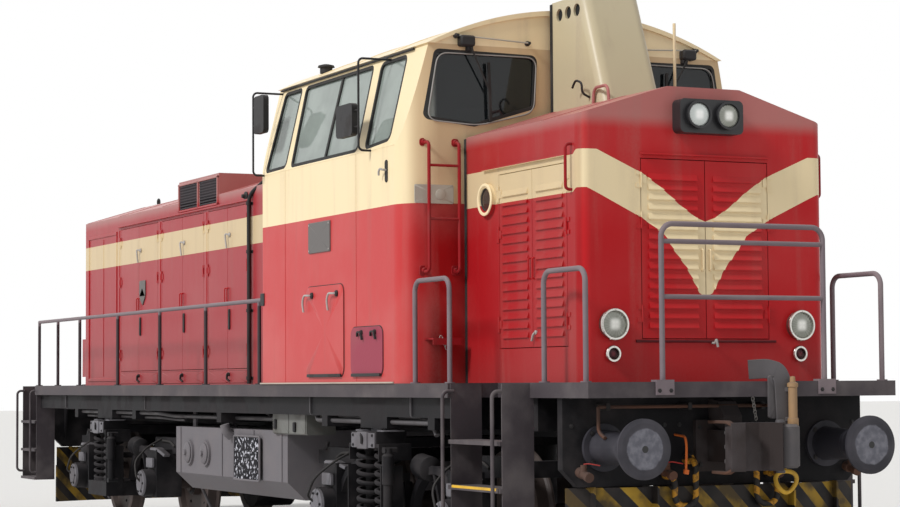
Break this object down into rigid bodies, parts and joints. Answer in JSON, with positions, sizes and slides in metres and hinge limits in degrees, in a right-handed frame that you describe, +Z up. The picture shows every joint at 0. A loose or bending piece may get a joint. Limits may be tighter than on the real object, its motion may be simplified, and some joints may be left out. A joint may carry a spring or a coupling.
{
  "type": "diesel locomotive",
  "caption": "Four-axle diesel locomotive with an off-centre cab, a short and a long hood, two bogies with coil springs, and hinged hood and cab doors.",
  "frame": {"origin": "on the floor under the middle of the locomotive, at the height of the wheel flange tips", "axes": "+X towards the short hood end, +Z up, +Y completes a right-handed frame"},
  "size_m": [14, 3.24, 4.4979],
  "materials": {
    "red_paint": "satin red paint",
    "cab_paint": "satin paint, red below and cream above",
    "cream_paint": "satin cream paint",
    "wheel_steel": "dusty steel with a worn bright tread",
    "spring_steel": "dusty dark paint",
    "black_frame_paint": "dusty black paint",
    "window_glass": "clear tinted glass",
    "lens_glass": "fluted lens glass",
    "lamp_metal": "worn chrome",
    "black_rubber": "matt rubber",
    "red_rubber": "dusty hose rubber, red caps",
    "rail_red": "worn red paint",
    "mirror_black": "matt black paint",
    "engine_iron": "painted iron",
    "tank_grey": "dusty grey paint",
    "desk_grey": "matt grey paint",
    "seat_fabric": "woven seat cover",
    "deck_grey": "worn grey paint",
    "rail_grey": "worn grey paint",
    "buffer_steel": "dusty dark paint with a worn face",
    "coupler_iron": "rusty cast steel",
    "hazard_paint": "yellow and black stripes under dirt"
  },
  "bodies": {
    "root": {"brake_hoses": "red_rubber", "buffers": "buffer_steel", "cab_desks": "desk_grey", "cab_front": "cab_paint", "cab_glass": "window_glass", "cab_mirrors": "mirror_black", "cab_rear": "cab_paint", "cab_roof": "cream_paint", "cab_seats": "seat_fabric", "cab_side_left": "cab_paint", "cab_side_right": "cab_paint", "corner_steps": "deck_grey", "couplers": "coupler_iron", "deck": "deck_grey", "end_railings": "rail_grey", "engine_block": "engine_iron", "exhaust_housing": "cream_paint", "fuel_tank": "tank_grey", "grab_rails": "rail_red", "guards": "hazard_paint", "headstocks": "black_frame_paint", "hood_seals": "black_rubber", "lamp_housings": "lamp_metal", "lamp_lenses": "lens_glass", "long_hood": "red_paint", "platform_hoops": "rail_grey", "short_hood": "red_paint", "underframe": "black_frame_paint", "walkway_railings": "rail_grey", "window_frames": "black_rubber"},
    "bogie_front": {"bogie_front": "black_frame_paint", "bogie_springs_front": "spring_steel", "axle_gears_front": "black_frame_paint"},
    "bogie_rear": {"bogie_rear": "black_frame_paint", "bogie_springs_rear": "spring_steel", "axle_gears_rear": "black_frame_paint"},
    "wheelset_1": {"wheelset_1": "wheel_steel"},
    "wheelset_2": {"wheelset_2": "wheel_steel"},
    "wheelset_3": {"wheelset_3": "wheel_steel"},
    "wheelset_4": {"wheelset_4": "wheel_steel"},
    "cab_door_left": {"cab_door_left": "cab_paint"},
    "cab_door_right": {"cab_door_right": "cab_paint"},
    "front_door_left": {"front_door_left": "red_paint"},
    "front_door_right": {"front_door_right": "red_paint"},
    "long_hood_door_left_1a": {"long_hood_door_left_1a": "red_paint"},
    "long_hood_door_left_1b": {"long_hood_door_left_1b": "red_paint"},
    "long_hood_door_left_2a": {"long_hood_door_left_2a": "red_paint"},
    "long_hood_door_left_2b": {"long_hood_door_left_2b": "red_paint"},
    "long_hood_door_left_3a": {"long_hood_door_left_3a": "red_paint"},
    "long_hood_door_left_3b": {"long_hood_door_left_3b": "red_paint"},
    "long_hood_door_right_1a": {"long_hood_door_right_1a": "red_paint"},
    "long_hood_door_right_1b": {"long_hood_door_right_1b": "red_paint"},
    "long_hood_door_right_2a": {"long_hood_door_right_2a": "red_paint"},
    "long_hood_door_right_2b": {"long_hood_door_right_2b": "red_paint"},
    "long_hood_door_right_3a": {"long_hood_door_right_3a": "red_paint"},
    "long_hood_door_right_3b": {"long_hood_door_right_3b": "red_paint"},
    "short_hood_door_left_1": {"short_hood_door_left_1": "red_paint"},
    "short_hood_door_left_2": {"short_hood_door_left_2": "red_paint"},
    "short_hood_door_right_1": {"short_hood_door_right_1": "red_paint"},
    "short_hood_door_right_2": {"short_hood_door_right_2": "red_paint"}
  },
  "joints": [
    {"name": "bogie_front_swing", "type": "hinge", "parent": "root", "child": "bogie_front", "pos_m": [3.62, 0, 0.7], "axis": [0, 0, 1], "range_deg": [-3, 3]},
    {"name": "bogie_rear_swing", "type": "hinge", "parent": "root", "child": "bogie_rear", "pos_m": [-3.62, 0, 0.7], "axis": [0, 0, 1], "range_deg": [-3, 3]},
    {"name": "wheelset_1_spin", "type": "hinge", "parent": "bogie_front", "child": "wheelset_1", "pos_m": [4.845, 0, 0.528], "axis": [0, 1, 0], "continuous": true},
    {"name": "wheelset_2_spin", "type": "hinge", "parent": "bogie_front", "child": "wheelset_2", "pos_m": [2.395, 0, 0.528], "axis": [0, 1, 0], "continuous": true},
    {"name": "wheelset_3_spin", "type": "hinge", "parent": "bogie_rear", "child": "wheelset_3", "pos_m": [-2.395, 0, 0.528], "axis": [0, 1, 0], "continuous": true},
    {"name": "wheelset_4_spin", "type": "hinge", "parent": "bogie_rear", "child": "wheelset_4", "pos_m": [-4.845, 0, 0.528], "axis": [0, 1, 0], "continuous": true},
    {"name": "front_door_left_hinge", "type": "hinge", "parent": "root", "child": "front_door_left", "pos_m": [6.317, -0.527, 2.4], "axis": [0, 0, -1], "range_deg": [0, 60]},
    {"name": "short_hood_door_left_1_hinge", "type": "hinge", "parent": "root", "child": "short_hood_door_left_1", "pos_m": [5.053, -1.022, 2.4], "axis": [0, 0, -1], "range_deg": [0, 45]},
    {"name": "short_hood_door_left_2_hinge", "type": "hinge", "parent": "root", "child": "short_hood_door_left_2", "pos_m": [6.117, -1.022, 2.4], "axis": [0, 0, 1], "range_deg": [0, 70]},
    {"name": "long_hood_door_left_1a_hinge", "type": "hinge", "parent": "root", "child": "long_hood_door_left_1a", "pos_m": [-4.357, -1.022, 2.4], "axis": [0, 0, -1], "range_deg": [0, 33]},
    {"name": "long_hood_door_left_1b_hinge", "type": "hinge", "parent": "root", "child": "long_hood_door_left_1b", "pos_m": [-3.053, -1.022, 2.4], "axis": [0, 0, 1], "range_deg": [0, 33]},
    {"name": "long_hood_door_left_2a_hinge", "type": "hinge", "parent": "root", "child": "long_hood_door_left_2a", "pos_m": [-2.907, -1.022, 2.4], "axis": [0, 0, -1], "range_deg": [0, 33]},
    {"name": "long_hood_door_left_2b_hinge", "type": "hinge", "parent": "root", "child": "long_hood_door_left_2b", "pos_m": [-1.583, -1.022, 2.4], "axis": [0, 0, 1], "range_deg": [0, 33]},
    {"name": "long_hood_door_left_3a_hinge", "type": "hinge", "parent": "root", "child": "long_hood_door_left_3a", "pos_m": [-1.437, -1.022, 2.4], "axis": [0, 0, -1], "range_deg": [0, 33]},
    {"name": "long_hood_door_left_3b_hinge", "type": "hinge", "parent": "root", "child": "long_hood_door_left_3b", "pos_m": [-0.323, -1.022, 2.4], "axis": [0, 0, 1], "range_deg": [0, 33]},
    {"name": "cab_door_left_hinge", "type": "hinge", "parent": "root", "child": "cab_door_left", "pos_m": [1.293, -1.048, 2.4], "axis": [0, 0, -1], "range_deg": [0, 85]},
    {"name": "front_door_right_hinge", "type": "hinge", "parent": "root", "child": "front_door_right", "pos_m": [6.317, 0.527, 2.4], "axis": [0, 0, 1], "range_deg": [0, 60]},
    {"name": "short_hood_door_right_1_hinge", "type": "hinge", "parent": "root", "child": "short_hood_door_right_1", "pos_m": [5.053, 1.022, 2.4], "axis": [0, 0, 1], "range_deg": [0, 45]},
    {"name": "short_hood_door_right_2_hinge", "type": "hinge", "parent": "root", "child": "short_hood_door_right_2", "pos_m": [6.117, 1.022, 2.4], "axis": [0, 0, -1], "range_deg": [0, 70]},
    {"name": "long_hood_door_right_1a_hinge", "type": "hinge", "parent": "root", "child": "long_hood_door_right_1a", "pos_m": [-4.357, 1.022, 2.4], "axis": [0, 0, 1], "range_deg": [0, 33]},
    {"name": "long_hood_door_right_1b_hinge", "type": "hinge", "parent": "root", "child": "long_hood_door_right_1b", "pos_m": [-3.053, 1.022, 2.4], "axis": [0, 0, -1], "range_deg": [0, 33]},
    {"name": "long_hood_door_right_2a_hinge", "type": "hinge", "parent": "root", "child": "long_hood_door_right_2a", "pos_m": [-2.907, 1.022, 2.4], "axis": [0, 0, 1], "range_deg": [0, 33]},
    {"name": "long_hood_door_right_2b_hinge", "type": "hinge", "parent": "root", "child": "long_hood_door_right_2b", "pos_m": [-1.583, 1.022, 2.4], "axis": [0, 0, -1], "range_deg": [0, 33]},
    {"name": "long_hood_door_right_3a_hinge", "type": "hinge", "parent": "root", "child": "long_hood_door_right_3a", "pos_m": [-1.437, 1.022, 2.4], "axis": [0, 0, 1], "range_deg": [0, 33]},
    {"name": "long_hood_door_right_3b_hinge", "type": "hinge", "parent": "root", "child": "long_hood_door_right_3b", "pos_m": [-0.323, 1.022, 2.4], "axis": [0, 0, -1], "range_deg": [0, 33]},
    {"name": "cab_door_right_hinge", "type": "hinge", "parent": "root", "child": "cab_door_right", "pos_m": [1.293, 1.048, 2.4], "axis": [0, 0, 1], "range_deg": [0, 85]}
  ]
}
